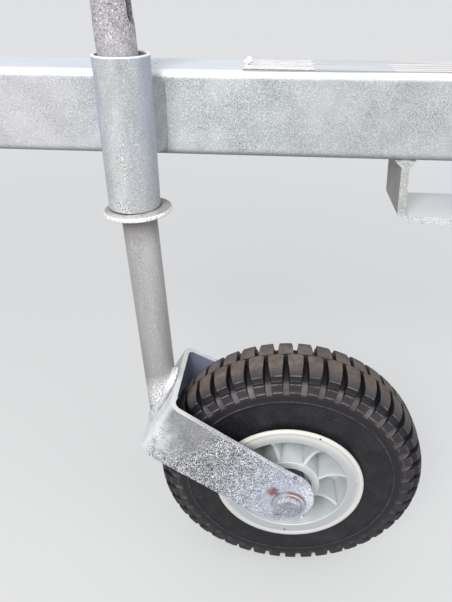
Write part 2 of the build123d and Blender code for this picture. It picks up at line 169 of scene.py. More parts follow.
def zinc(name, dark, light, freckle, fleck, grain_mm=1.7, clump_mm=45, stretch=(1, 1, 1), roughness=0.5):
    """Hot-dip zinc: cloudy patches from dark to light, with clumps of fine dark freckles and
    fine bright flecks between them, on a faintly wavy surface. The grain is drawn as coarse as
    it has to be to show. Gives the material, its tree and shader, and the place."""
    grain_depth = 0.0003
    swell_mm = 25
    swell_depth = 0.002
    material, tree, shader = new_material(name)
    place = add(tree, "TexCoord").outputs["Object"]
    drawn = add(tree, "VectorMath", {0: place, 1: stretch}, operation="MULTIPLY").outputs[0]
    cloud_look = {"Vector": drawn, "Scale": 1000 / clump_mm, "Detail": 6.0, "Roughness": 0.65}
    tone = mask(tree, (add(tree, "TexNoise", cloud_look).outputs["Fac"], 0.32, 0.68))
    base = add(tree, "Mix", {0: tone, 6: linear(dark), 7: linear(light)}, data_type="RGBA")
    tree.links.new(base.outputs[2], shader.inputs["Base Color"])
    shader.inputs["Metallic"].default_value = 0.2
    shader.inputs["Roughness"].default_value = roughness
    grain_look = {"Vector": place, "Scale": 1000 / grain_mm, "Detail": 2.0, "Roughness": 0.7}
    grain = add(tree, "TexNoise", grain_look).outputs["Fac"]
    # W picks another slice of the noise, so that clumps and clouds don't coincide
    clump_look = {"Vector": drawn, "Scale": 1000 / (clump_mm * 0.8), "Detail": 3.0, "W": 7.0}
    clump = add(tree, "TexNoise", clump_look, noise_dimensions="4D").outputs["Fac"]
    clumped = mask(tree, (clump, 0.36, 0.66))
    layer(tree, shader, [clumped, (grain, 0.5, 0.36)], freckle, roughness=0.7)
    between = mask(tree, (clumped, 1.3, 0.2))
    layer(tree, shader, [between, (grain, 0.54, 0.7)], fleck, roughness=0.45)
    bump = add(tree, "Bump", {"Height": grain, "Strength": 0.3, "Distance": grain_depth}).outputs[0]
    swell = add(tree, "TexNoise", {"Vector": place, "Scale": 1000 / swell_mm, "Detail": 2.0}).outputs["Fac"]
    wave_look = {"Height": swell, "Distance": swell_depth, "Strength": 0.15, "Normal": bump}
    tree.links.new(add(tree, "Bump", wave_look).outputs[0], shader.inputs["Normal"])
    return material, tree, shader, place


def dress(node_names, material):
    """Gives CAD nodes a material in place of their plain one."""
    for name in node_names:
        materials = frame["nodes"][name].data.materials
        materials.clear()
        materials.append(material)


skim_from_x = 0.1294
worn_from_x = 0.308
pit_at = (0.021, -0.0534, 0.05)
drawbar_zinc, tree, shader, place = zinc("galvanised_drawbar", "#a7abac", "#c0c3c4", "#747b7e", "#eaedee")
upward = facing(tree, (0, 0, 1))
top_face = mask(tree, (upward, 0.8, 0.95))
front_face = mask(tree, (facing(tree, (0, -1, 0)), 0.8, 0.95))
spot = add(tree, "SeparateXYZ", {0: place}).outputs
scores = scratches(tree, place, (5, 230, 230))
# Painted light and shade: faces that look down are darker, the rounded upper edges carry a painted highlight,
# and the flat top a painted bluish reflection of the sky
layer(tree, shader, [(upward, -0.2, -0.7)], "#9ca4a7")
layer(tree, shader, [(upward, 0.15, 0.6)], "#f4f6f8", roughness=0.4)
layer(tree, shader, [(upward, 0.9, 0.99)], "#d8dce3", roughness=0.45)
# Brown scores run along the upper face, and from worn_from_x on it is rubbed pale between them
scored = [top_face, (spot["X"], 0.13, 0.2), (scores, 0.54, 0.62)]
layer(tree, shader, [*scored, 0.6], "#a58c86", roughness=0.6)
worn = mask(tree, top_face, (spot["X"], worn_from_x, worn_from_x + 0.001))
layer(tree, shader, [worn, (scores, 0.7, 0.35)], "#fbf4ef", roughness=0.5)
layer(tree, shader, [worn, (scores, 0.55, 0.66), 0.7], "#8d716a", roughness=0.6)
# A dull line along the upper face's front edge, from the skim's left end on
from_skim = mask(tree, (spot["X"], skim_from_x, skim_from_x + 0.004))
front_strip = mask(tree, (spot["Y"], -0.081, -0.086))
layer(tree, shader, [top_face, from_skim, front_strip, (scores, 0.36, 0.56), 0.7], "#857d7b")
layer(tree, shader, [near(tree, place, pit_at, 0.001, 0.0022)], "#4a4441")
# The front face is a little warmer at its left end and darker at its right
layer(tree, shader, [front_face, (spot["X"], -0.04, -0.10), 0.30], "#d3c9cf")
layer(tree, shader, [front_face, (spot["X"], 0.13, 0.24), 0.22], "#9b9a9b")
dress(["drawbar"], drawbar_zinc)


# Zinc skim: ash and dross that froze on the upper face as the bar left the bath, a thin white
# crust with two round knobs and a few low lumps at its left end.
def patch_mesh(name, grid, ring):
    """A mesh from an array of points (rows, columns, 3): each quad joins neighbours, the last
    row joins the first, and so do the columns where ring is set."""
    rows, columns = grid.shape[:2]
    index = np.arange(rows * columns).reshape(rows, columns)
    index = np.concatenate([index, index[:1]], axis=0)
    if ring:
        index = np.concatenate([index, index[:, :1]], axis=1)
    quads = np.stack([index[:-1, :-1], index[:-1, 1:], index[1:, 1:], index[1:, :-1]], axis=-1)
    mesh = bpy.data.meshes.new(name)
    mesh.from_pydata(grid.reshape(-1, 3).tolist(), [], quads.reshape(-1, 4).tolist())
    mesh.shade_smooth()
    piece = bpy.data.objects.new(name, mesh)
    bpy.context.collection.objects.link(piece)
    return piece


def crevice(tree, reach, clear, shut):
    """0 in the open and 1 in corners and gaps, as the share of directions that are open within
    reach metres falls from clear to shut."""
    openness = add(tree, "AmbientOcclusion", {"Distance": reach}, samples=8).outputs["AO"]
    return mask(tree, (openness, clear, shut))


skim_to_x = 0.2155
skim_front_y = -0.0895
skim_back_y = -0.0125
skim_thickness = 0.0009
skim_root = 0.0003
skim_grit = 0.00014
drawbar_top_z = 0.05
# Each lump: place along X and Y, its radius across and its height, in metres
skim_lumps = (
    (0.1368, -0.0430, 0.0042, 0.0085),
    (0.1322, -0.0470, 0.0028, 0.0058),
    (0.1345, -0.0560, 0.0050, 0.0034),
    (0.1330, -0.0680, 0.0056, 0.0026),
    (0.1380, -0.0760, 0.0060, 0.0018),
    (0.1460, -0.0660, 0.0050, 0.0012),
    (0.1560, -0.0800, 0.0048, 0.0010),
)
# The crust is a grid over its outline, which sine waves make ragged. Its height above the bar is
# its thickness and grit, or a lump's dome where that is higher, times a rise that goes as a
# square root from 0 at the edges to 1 at 1.5 mm in. Edges and underside are sunk in the bar.
share_x = np.linspace(0, 1, 190)[:, None]
share_y = np.linspace(0, 1, 120)[None, :]
ragged_x = 0.0012 * np.sin(share_y * 21) + 0.0008 * np.sin(share_y * 47 + 1)
ragged_y = 0.0006 * np.sin(share_x * 33) + 0.0004 * np.sin(share_x * 80 + 2)
skim_x = skim_from_x + (skim_to_x - skim_from_x) * share_x + ragged_x
skim_y = skim_front_y + (skim_back_y - skim_front_y) * share_y + ragged_y
to_edge = np.minimum(np.minimum(share_x, 1 - share_x) * 60, np.minimum(share_y, 1 - share_y) * 50)
rise = np.sqrt(np.clip(to_edge, 0, 1))
grit = np.sin(skim_x * 2100) * np.sin(skim_y * 1700 + 1) + np.sin(skim_x * 3900 + skim_y * 2600)
rough = skim_grit * grit
skim_z = rise * (skim_thickness + rough)
for lump_x, lump_y, across, tall in skim_lumps:
    dome = np.clip(1 - ((skim_x - lump_x) ** 2 + (skim_y - lump_y) ** 2) / across**2, 0, 1)
    skim_z = np.maximum(skim_z, rise * (tall * dome**0.4 + rough))
top = np.stack([skim_x, skim_y, drawbar_top_z + skim_z - skim_root * (1 - rise)], axis=-1)
under = np.stack([skim_x, skim_y, drawbar_top_z - skim_root + 0 * skim_z], axis=-1)
skim_grid = np.concatenate([top, under[:, ::-1]], axis=1).transpose(1, 0, 2)
skim = patch_mesh("zinc_skim", skim_grid, ring=False)
skim_zinc, tree, shader, place = zinc(
    "zinc_skim", "#ecebec", "#f9f8f8", "#c9bfbb", "#ffffff", grain_mm=1.2, clump_mm=14
)
scores = scratches(tree, place, (12, 230, 230))
layer(tree, shader, [(scores, 0.56, 0.64), 0.7], "#b3a19c", roughness=0.7)
# Painted shade in the creases round the lumps
layer(tree, shader, [crevice(tree, 0.003, 0.8, 0.45)], "#8d8885", roughness=0.7)
# Painted shadow along the foot of the front wall
shaded_front_wall = mask(tree, (facing(tree, (0, -1, 0)), 0.25, 0.55), (scores, 0.3, 0.45))
height = add(tree, "SeparateXYZ", {0: place}).outputs["Z"]
layer(tree, shader, [shaded_front_wall, (height, 0.0524, 0.0512)], "#6d6664", roughness=0.8)
skim.data.materials.append(skim_zinc)
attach(skim, "drawbar")


# Sleeve: a length of thick tube, galvanised with the drawbar. Its zinc ran downwards, so the
# patches are long and upright. Its flanks carry a painted bluish reflection of the sky higher up,
# left of the middle it is painted lighter as lit, its mouth has a painted highlight, and a dirty
# streak with bright grains runs down its front.
def speckle(tree, place, size_mm, low, high, detail=2.0):
    """Soft-edged spots about size_mm across, where a noise lies between low and high."""
    noise = add(tree, "TexNoise", {"Vector": place, "Scale": 1000 / size_mm, "Detail": detail})
    return mask(tree, (noise.outputs["Fac"], low, high))


sleeve_mouth_z = 0.0702
sleeve_zinc, tree, shader, place = zinc(
    "galvanised_sleeve", "#969a9e", "#bec0c2", "#82807d", "#e2e4e6",
    grain_mm=1.5, clump_mm=30, stretch=(1, 1, 0.4),
)
height = add(tree, "SeparateXYZ", {0: place}).outputs["Z"]
rightward = facing(tree, (1, 0, 0))
higher = mask(tree, (height, -0.095, -0.010))
# Painted reflection: a bluish sheen of the sky high on both flanks
layer(tree, shader, [(rightward, 0.45, 0.95), higher, 0.5], "#a9b3c4", roughness=0.5)
layer(tree, shader, [(rightward, -0.55, -0.95), higher, 0.6], "#aab2c6", roughness=0.5)
# Painted light: lighter left of the middle, where the light falls
lit_left_of_middle = [(rightward, 0.25, -0.15), (rightward, -0.75, -0.35)]
layer(tree, shader, [*lit_left_of_middle, 0.22], "#dfdedb")
streak = mask(
    tree,
    (rightward, 0.22, 0.02),
    (rightward, -0.62, -0.30),
    (height, 0.010, -0.045),
    speckle(tree, place, 18, 0.38, 0.6, 3.0),
)
layer(tree, shader, [streak, speckle(tree, place, 1.7, 0.50, 0.58)], "#6f665f", roughness=0.7)
layer(tree, shader, [streak, speckle(tree, place, 1.3, 0.56, 0.62)], "#fffdf8", roughness=0.35)
# Painted highlight round the mouth
lit_mouth = mask(tree, (height, sleeve_mouth_z - 0.0008, sleeve_mouth_z))
layer(tree, shader, [lit_mouth], "#f3f4f7", roughness=0.4)
dress(["sleeve"], sleeve_zinc)


# Collar: a flat steel ring welded to the stem, on which the sleeve's foot rests. Its top is
# dulled and rubbed brown in places, its rounded edge is still white, and the gap under the
# sleeve's foot and the corner with the stem are darkened as painted shade.
collar_front = (0.002, -0.176, -0.107)
collar_zinc, tree, shader, place = zinc(
    "galvanised_collar", "#c6c5c3", "#e0dfdd", "#a09b95", "#f3f2f0", grain_mm=1.4, clump_mm=20
)
upward = facing(tree, (0, 0, 1))
not_front = mask(tree, (near(tree, place, collar_front, 0.024, 0.042), 1.0, 0.0))
layer(tree, shader, [(upward, 0.95, 0.985), not_front, 0.75], "#9d9b9b", roughness=0.6)
rounded_edge = mask(tree, (upward, 0.9, 0.6))
layer(tree, shader, [rounded_edge, speckle(tree, place, 4, 0.4, 0.6)], "#ffffff", roughness=0.35)
rubbed = mask(tree, (upward, 0.8, 0.95), speckle(tree, place, 10, 0.5, 0.68))
layer(tree, shader, [rubbed, 0.6], "#a8988c", roughness=0.6)
# Painted shade in the gap under the sleeve's foot and in the corner with the stem
layer(tree, shader, [crevice(tree, 0.009, 0.72, 0.42)], "#4b4746", roughness=0.8)
dress(["collar", "collar_weld"], collar_zinc)


# Stem: a tube, weathered warm grey, with long streaks where water ran down it. Above the
# sleeve it is dirtier and blotched, and white zinc has bloomed round its foot. Below the
# collar it has a painted shadow, and its flanks are painted darker as shade.
joints = {joint["name"]: joint for joint in frame["joints"]}
swivel = joints["swivel"]
spin = joints["wheel_spin"]
stem_point = np.array(swivel["pos_m"])
stem_up = np.array(swivel["axis"]) / np.linalg.norm(swivel["axis"])
axle_dir = np.array(spin["axis"]) / np.linalg.norm(spin["axis"])
trail_dir = np.cross(stem_up, axle_dir)
wheel_centre = np.array(spin["pos_m"])
fork_slope = math.radians(32.37)
web_inner = 0.2193
fork_bar = 0.008
web_outer = web_inner + fork_bar
arm_dir = trail_dir * math.cos(fork_slope) - stem_up * math.sin(fork_slope)
arm_up = trail_dir * math.sin(fork_slope) + stem_up * math.cos(fork_slope)
to_web = ((wheel_centre - arm_dir * web_outer - stem_point) @ arm_dir) / (stem_up @ arm_dir)
foot_centre = stem_point + stem_up * to_web
stem_zinc, tree, shader, place = zinc(
    "galvanised_stem", "#9b9998", "#bcbaba", "#85827f", "#d3d2d3",
    grain_mm=1.5, clump_mm=40, stretch=(1, 1, 0.12),
)
height = add(tree, "SeparateXYZ", {0: place}).outputs["Z"]
leftward = facing(tree, (-1, 0, 0))
exposed = mask(tree, (height, 0.06, 0.09))
layer(tree, shader, [exposed], "#aeaaae", roughness=0.6)
layer(tree, shader, [exposed, speckle(tree, place, 9, 0.42, 0.6, 5.0)], "#9b9599")
layer(tree, shader, [exposed, speckle(tree, place, 2.3, 0.52, 0.62, 3.0)], "#78737d", roughness=0.75)
layer(tree, shader, [exposed, speckle(tree, place, 1.8, 0.57, 0.66, 2.0)], "#dedadd", roughness=0.4)
# Painted shadow of the collar, in a band below it
shadow_under_collar = mask(tree, (height, -0.152, -0.120), (height, -0.095, -0.105))
layer(tree, shader, [shadow_under_collar, 0.55], "#55514f", roughness=0.7)
# Painted shade: the left flank darker, and the right flank darker lower down. Lower down, the front and left
# are also a little darker.
shaded_left_flank = mask(tree, (leftward, 0.15, 0.85))
layer(tree, shader, [shaded_left_flank, (height, -0.08, -0.32), 0.55], "#78736f", roughness=0.6)
lower = mask(tree, (height, -0.18, -0.34))
layer(tree, shader, [lower, (leftward, -0.7, -0.1), 0.22], "#817d79")
shaded_right_flank = mask(tree, (facing(tree, (1, 0, 0)), 0.35, 0.9))
layer(tree, shader, [shaded_right_flank, lower, 0.35], "#7b7a7e")
bloom_at = foot_centre + arm_up * 0.016 + axle_dir * 0.020
bloom = [near(tree, place, bloom_at, 0.014, 0.044), speckle(tree, place, 2.0, 0.40, 0.56, 4.0)]
layer(tree, shader, bloom, "#ffffff", roughness=0.4)
dress(["stem"], stem_zinc)


# Welds between sleeve and drawbar, and between bracket and drawbar: fillets under the zinc,
# as dull as the steel beside them. The sleeve's welds face away from the light and are painted
# darker, as shade.
# Painted shade: the sleeve's welds darker than the bracket's
weld_zinc = zinc("shaded_galvanised_weld", "#8f979b", "#a9b0b3", "#7d8589", "#c2c8ca", clump_mm=18)[0]
dress(["sleeve_welds"], weld_zinc)
bracket_weld_zinc = zinc(
    "galvanised_bracket_weld", "#abb0ae", "#ced2d0", "#868c88", "#e2e5e2", clump_mm=15
)[0]
dress(["bracket_welds"], bracket_weld_zinc)


# Bracket below the drawbar: a wide flat bar bent to a U, with the same dull zinc. Its upward
# faces are painted lighter as lit, its left side is painted darker as shade, and its front edge
# is grainy, grey down the leg and paler along the foot.
bracket_zinc, tree, shader, place = zinc("galvanised_bracket", "#a8adae", "#cdd1d1", "#888e8f", "#e0e3e3")
height = add(tree, "SeparateXYZ", {0: place}).outputs["Z"]
front_edge = mask(tree, (facing(tree, (0, -1, 0)), 0.6, 0.9))
shaded_left_side = mask(tree, (facing(tree, (-1, 0, 0)), 0.6, 0.9))
# Painted light on the faces that look up
layer(tree, shader, [(facing(tree, (0, 0, 1)), 0.8, 0.95)], "#e0e1e2", roughness=0.45)
layer(tree, shader, [front_edge, (height, -0.121, -0.113), 0.6], "#a5a19c", roughness=0.6)
# Painted shade on the left side
layer(tree, shader, [shaded_left_side, 0.6], "#777069", roughness=0.6)
layer(tree, shader, [front_edge, (height, -0.116, -0.123), 0.3], "#eceeef", roughness=0.4)
layer(tree, shader, [front_edge, speckle(tree, place, 1.9, 0.42, 0.34), 0.6], "#7f7f7b", roughness=0.6)
layer(tree, shader, [front_edge, speckle(tree, place, 1.4, 0.56, 0.66), 0.5], "#fafbf9", roughness=0.35)
dress(["under_bracket"], bracket_zinc)


# Fork: flat bar bent to a U. Its zinc froze in fine bright grains over dark on the arms, and
# is cloudy and white round the bend. The upper edges carry a painted highlight, and there is a
# painted highlight near the arm's end. The web and the arms near it are painted blue-grey
# inside, as cool shade, and shade is painted round the bolt. Rust bleeds out near the axle.
def past_hub(tree, place, direction):
    """How far a point lies past the wheel's centre along a direction: the dot product of the way
    there and the direction."""
    way = add(tree, "VectorMath", {0: place, 1: tuple(wheel_centre)}, operation="SUBTRACT").outputs[0]
    return add(tree, "VectorMath", {0: way, 1: tuple(direction)}, operation="DOT_PRODUCT").outputs["Value"]


# The bright grains are drawn as coarse as they have to be to show
fork_grain_mm = 0.85
bolt_at = wheel_centre + axle_dir * 0.0915
smooth_at = (0.052, -0.240, -0.388)
smudge_at = (0.088, -0.243, -0.386)
bend_at = (0.012, -0.222, -0.420)
by_weld_at = foot_centre + axle_dir * 0.04
end_at = (0.2452, -0.2478, -0.5029)
sparkle_at = (0.2494, -0.2467, -0.4798)
pit_at = (0.2251, -0.2459, -0.4622)
pit_middle = (0.2253, -0.2459, -0.4622)
rust_at = (0.1950, -0.2476, -0.4936)
# Rust crumbs round the bolt: where each lies and how far it reaches
rust_crumbs = (
    ((0.2013, -0.2482, -0.5071), 0.007),
    ((0.2006, -0.2490, -0.5222), 0.006),
    ((0.2024, -0.2499, -0.5417), 0.012),
)
fork_zinc, tree, shader, place = zinc(
    "galvanised_fork", "#7d7e81", "#9b9c9f", "#6f7177", "#d2d3d8", grain_mm=1.4, clump_mm=30
)
# Above 0 on the outer face of either arm and below 0 on its inner face
sides = {0: facing(tree, axle_dir), 1: past_hub(tree, place, axle_dir)}
outwards = add(tree, "Math", sides, operation="MULTIPLY").outputs[0]
back_from_axle = past_hub(tree, place, arm_dir)
outside = mask(tree, (outwards, 0.045, 0.062))
within = mask(tree, (outwards, -0.040, -0.052))
by_web = mask(tree, (back_from_axle, -0.150, -0.190))
# Arms' outer faces: each grain of the zinc is dark, bright or plain by a number of its own
grainy = mask(tree, (near(tree, place, smooth_at, 0.030, 0.070), 0.9, 0.0), outside)
grains = add(tree, "TexVoronoi", {"Vector": place, "Scale": 1000 / fork_grain_mm})
chance = add(tree, "SeparateXYZ", {0: grains.outputs["Color"]}).outputs
broad = speckle(tree, place, 11, 0.3, 0.7, 3.0)
layer(tree, shader, [grainy, (chance["Y"], 0.36, 0.40)], "#2e313b", roughness=0.6)
bright = [grainy, (chance["X"], 0.69, 0.72), (broad, -0.5, 0.8)]
layer(tree, shader, bright, "#ffffff", roughness=0.3)
layer(tree, shader, [outside, (back_from_axle, -0.110, -0.035), 0.28], "#dbe6ff")
smeared = [near(tree, place, bolt_at, 0.026, 0.044), speckle(tree, place, 4, 0.3, 0.56, 4.0)]
layer(tree, shader, smeared, "#b4b9c8", roughness=0.35)
# Painted highlight near the arm's end
glint = [near(tree, place, end_at, 0.014, 0.036), speckle(tree, place, 3, 0.42, 0.6, 4.0)]
layer(tree, shader, glint, "#dfe2ec", roughness=0.35)
# Bend and web
cloud = mask(tree, speckle(tree, place, 12, 0.25, 0.6, 5.0), speckle(tree, place, 2.2, 0.28, 0.5, 3.0))
layer(tree, shader, [near(tree, place, bend_at, 0.018, 0.056), cloud], "#dfdfe2", roughness=0.5)
layer(tree, shader, [near(tree, place, by_weld_at, 0.018, 0.040), cloud], "#e2e3e6", roughness=0.45)
layer(tree, shader, [near(tree, place, smudge_at, 0.008, 0.026), 0.7], "#8f8b91", roughness=0.6)
layer(tree, shader, [(facing(tree, -arm_dir), 0.5, 0.85), 0.75], "#e4e5e8", roughness=0.45)
# Painted shade: the web's inner face, and the arms' inner faces near it, cool blue-grey
layer(tree, shader, [(facing(tree, arm_dir), 0.6, 0.9), by_web], "#606a8d", roughness=0.6)
layer(tree, shader, [within, (back_from_axle, -0.090, -0.150)], "#8b94a8", roughness=0.6)
# Upper edge: a painted highlight, with dark grains and white flecks, and paler by the web
lit_upper_edge = mask(tree, (facing(tree, arm_up), 0.6, 0.9))
layer(tree, shader, [lit_upper_edge], "#c6c8d0", roughness=0.4)
layer(tree, shader, [lit_upper_edge, (chance["Y"], 0.62, 0.66)], "#8e919d", roughness=0.5)
layer(tree, shader, [lit_upper_edge, speckle(tree, place, 1.5, 0.5, 0.6)], "#ffffff", roughness=0.3)
layer(tree, shader, [lit_upper_edge, (back_from_axle, -0.170, -0.205)], "#e6e5e2", roughness=0.35)
# Marks near the axle
sparkle = [near(tree, place, sparkle_at, 0.003, 0.012), (chance["Z"], 0.5, 0.6)]
layer(tree, shader, sparkle, "#fff6f2", roughness=0.3)
layer(tree, shader, [near(tree, place, pit_at, 0.0022, 0.0034)], "#4d2836")
layer(tree, shader, [near(tree, place, pit_middle, 0.0008, 0.0014)], "#c9bcc2")
ragged_look = {"Vector": place, "Scale": 1000 / 6, "Detail": 5.0, "Roughness": 0.7}
ragged = mask(tree, (add(tree, "TexNoise", ragged_look).outputs["Fac"], 0.2, 0.6))
bleed = mask(tree, near(tree, place, rust_at, 0.002, 0.0145), ragged)
layer(tree, shader, [(bleed, 0.2, 0.42)], "#94777c", roughness=0.8, metallic=0.0)
layer(tree, shader, [(bleed, 0.42, 0.62)], "#80504f", roughness=0.85, metallic=0.0)
for crumb_at, crumb_reach in rust_crumbs:
    crumbs = [near(tree, place, crumb_at, 0.002, crumb_reach), speckle(tree, place, 2.4, 0.46, 0.54)]
    layer(tree, shader, crumbs, "#51393d", roughness=0.85, metallic=0.0)
# Painted shade in the gap round the bolt's head and washer
shade_round_bolt = [near(tree, place, bolt_at, 0.030, 0.034), crevice(tree, 0.005, 0.85, 0.55), 0.8]
layer(tree, shader, shade_round_bolt, "#4b4a52", roughness=0.8)
dress(["fork"], fork_zinc)


# Weld round the stem's slanting foot: a bead that runs from the web of the fork up the tube,
# heaped where the tube leans over the web's upper edge, all under bright zinc. It stands in
# for the plain tapered bead.
stem_radius = 0.0225
bead_width = 0.0075
bead_height = 0.012
heap_height = 0.009
ripple_pitch = 0.0035
lump_height = 0.0006
side_spread = 0.004
# How far the bead's knee stands out on the web, up the stem and off the tube, and what the heap
# adds to each
knee_out = 0.007
knee_up = 0.006
knee_off_tube = 0.001
heap_out = 0.004
heap_up = 0.012
heap_off_tube = 0.008
# How far the bead's edges are sunk in the tube and in the web
sunk_in_tube = 0.0012
sunk_in_web = 0.001
# The foot is an ellipse on the web: angle phi goes round it, and its long half axis lies up the
# arm. Across the bead, share t goes from the toe over the knee to the crest, a quadratic curve.
phi = np.linspace(0, 2 * np.pi, 360, endpoint=False)
long_half = stem_radius / math.sin(fork_slope)
foot_up = np.outer(np.cos(phi) * long_half, arm_up)
foot = foot_centre + foot_up + np.outer(np.sin(phi) * stem_radius, axle_dir)
outward = np.outer(np.cos(phi) / long_half, arm_up) + np.outer(np.sin(phi) / stem_radius, axle_dir)
outward /= np.linalg.norm(outward, axis=1)[:, None]
run = np.cumsum(np.linalg.norm(np.roll(foot, -1, axis=0) - foot, axis=1))
waves = 0.06 * np.sin(run / ripple_pitch * 2 * np.pi)
ripple = (1 + waves + 0.10 * np.sin(phi * 3 + 1) + 0.07 * np.sin(phi * 7))[:, None]
heap = np.clip(np.cos(phi - 0.6), 0, 1)[:, None] ** 2
side = np.sin(phi)[:, None] ** 2
toe = foot + outward * ((bead_width + side_spread * side) * ripple)
crest = foot + stem_up * ((bead_height + heap_height * heap) * ripple)
tube_out = (crest - stem_point) - np.outer((crest - stem_point) @ stem_up, stem_up)
tube_out /= np.linalg.norm(tube_out, axis=1)[:, None]
knee = foot + outward * ((knee_out + heap_out * heap) * ripple)
knee = knee + stem_up * ((knee_up + heap_up * heap) * ripple)
knee = knee + tube_out * (knee_off_tube + heap_off_tube * heap)
t = np.linspace(0, 1, 15)[:, None, None]
around = phi[:, None]
lumps = lump_height * np.sin(9 * around + 7 * t) * np.sin(23 * around - 5 * t) * t * (1 - t) * 4
bead = (1 - t) ** 2 * toe + 2 * t * (1 - t) * knee + t**2 * crest + tube_out * lumps
in_tube = crest - tube_out * sunk_in_tube
in_web = foot + arm_dir * sunk_in_web - outward * sunk_in_web
weld = patch_mesh("stem_foot_weld", np.concatenate([bead, [in_tube, in_web]]), ring=True)
bead_zinc, tree, shader, place = zinc(
    "galvanised_bead", "#a3a5a9", "#cfd0d3", "#7f828a", "#f4f4f6",
    grain_mm=1.6, clump_mm=10, roughness=0.4,
)
# A painted highlight on the heap
heap_at = foot_centre + arm_up * 0.037 + axle_dir * 0.012 + stem_up * 0.008
layer(tree, shader, [near(tree, place, heap_at, 0.010, 0.022)], "#ffffff", roughness=0.3)
weld.data.materials.append(bead_zinc)
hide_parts("stem_weld")
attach(weld, "post")


# Axle bolt, its nut and the spacer tubes: the bolt and nut are zinc-coated, thick enough to
# blur the corners, with painted highlights on their sides. The tubes are painted dull and dark,
# as the shade of the recess they sit in.
bolt_zinc, tree, shader, place = zinc(
    "galvanised_fixings", "#717581", "#96999f", "#464954", "#ffffff", grain_mm=1.3, clump_mm=12
)
# Painted highlight on the side faces of head and nut
lit_bolt_sides = mask(tree, (facing(tree, axle_dir), 0.93, 0.6))
layer(tree, shader, [lit_bolt_sides, speckle(tree, place, 3, 0.3, 0.6)], "#d2d5de", roughness=0.35)
dress(["axle_bolt", "axle_nut"], bolt_zinc)
# Painted shade: the spacers sit in a dark recess
spacer_zinc = zinc("shaded_spacer_tube", "#4c4f58", "#646770", "#3a3c44", "#83858c", clump_mm=12)[0]
dress(["spacer_near", "spacer_far"], spacer_zinc)


# Washers: pale zinc scale is left on them above the bolt's head, with rust in thin broken arcs
# along their edges.
def off_axle(tree, place):
    """How far a point is from the axle: the length of the cross product of the way there from
    the wheel's centre and the axle's direction."""
    way = add(tree, "VectorMath", {0: place, 1: tuple(wheel_centre)}, operation="SUBTRACT").outputs[0]
    crossed = add(tree, "VectorMath", {0: way, 1: tuple(axle_dir)}, operation="CROSS_PRODUCT")
    return add(tree, "VectorMath", {0: crossed.outputs[0]}, operation="LENGTH").outputs["Value"]


stain_at = (0.2294, -0.2504, -0.4942)
washer_zinc, tree, shader, place = zinc(
    "rusty_washer", "#8f929d", "#b3b6c1", "#747781", "#dfe0e8", grain_mm=0.9, clump_mm=9
)
radius = off_axle(tree, place)
outer_arc = mask(tree, (radius, 0.0226, 0.0234))
inner_arc = mask(tree, (radius, 0.0206, 0.0196))
blotches = speckle(tree, place, 6, 0.3, 0.45, 3.0)
stained = mask(tree, near(tree, place, stain_at, 0.012, 0.020), blotches)
layer(tree, shader, [stained], "#d8cbc6", roughness=0.7)
layer(tree, shader, [outer_arc, stained], "#866a62", roughness=0.9, metallic=0.0)
layer(tree, shader, [inner_arc, stained], "#87605a", roughness=0.9, metallic=0.0)
dress(["washer_near", "washer_far"], washer_zinc)


# Rim: one moulding in pale grey plastic, satin, with painted shade in the pockets. Its lip is
# creamy, with a painted highlight on top and painted shade below, and a few dark specks stick to
# it.
def fine_grain(tree, shader, place, size_mm, detail, depth, strength):
    """A skin of bumps about size_mm across and depth metres high, by a noise."""
    grain = add(tree, "TexNoise", {"Vector": place, "Scale": 1000 / size_mm, "Detail": detail})
    bump = add(tree, "Bump", {"Height": grain.outputs["Fac"], "Strength": strength, "Distance": depth})
    tree.links.new(bump.outputs[0], shader.inputs["Normal"])


speck_mm = 16
specks_on_lip = ((0.2579, -0.2126, -0.4167), (0.2187, -0.2197, -0.6173))
rim_plastic, tree, shader = new_material("grey_moulded_plastic")
place = add(tree, "TexCoord").outputs["Object"]
shader.inputs["Roughness"].default_value = 0.4
dust = speckle(tree, place, 30, 0.35, 0.7, 4.0)
plastic = add(tree, "Mix", {0: dust, 6: linear("#c9cdce"), 7: linear("#dadddc")}, data_type="RGBA")
tree.links.new(plastic.outputs[2], shader.inputs["Base Color"])
# Painted shade in the pockets and corners
layer(tree, shader, [crevice(tree, 0.008, 0.8, 0.2), 0.9], "#979da6", roughness=0.7)
radius = off_axle(tree, place)
above_axle = past_hub(tree, place, stem_up)
flat_ring = [(radius, 0.0875, 0.089), (facing(tree, axle_dir), 0.6, 0.9)]
layer(tree, shader, flat_ring, "#b0b3b6")
layer(tree, shader, [(radius, 0.100, 0.1055)], "#d3d1ca", roughness=0.35)
# Painted highlight on the upper part of the lip
layer(tree, shader, [(radius, 0.093, 0.101), (above_axle, 0.02, 0.085)], "#d5d3ca")
# Painted shade on the lower part of the lip
shaded_low_lip = [(radius, 0.088, 0.101), (above_axle, -0.04, -0.095), 0.5]
layer(tree, shader, shaded_low_lip, "#aaabb0")
# One cell in five or so of a pattern of cells has a speck at its middle
cells = add(tree, "TexVoronoi", {"Vector": place, "Scale": 1000 / speck_mm}).outputs
chance = add(tree, "SeparateXYZ", {0: cells["Color"]}).outputs["X"]
layer(tree, shader, [(cells["Distance"], 0.075, 0.05), (chance, 0.8, 0.82)], "#4b4446", roughness=0.8)
for speck_at in specks_on_lip:
    layer(tree, shader, [near(tree, place, speck_at, 0.0010, 0.0022)], "#3f2f30", roughness=0.8)
fine_grain(tree, shader, place, size_mm=0.8, detail=2.0, depth=0.0003, strength=0.06)
dress(["rim"], rim_plastic)


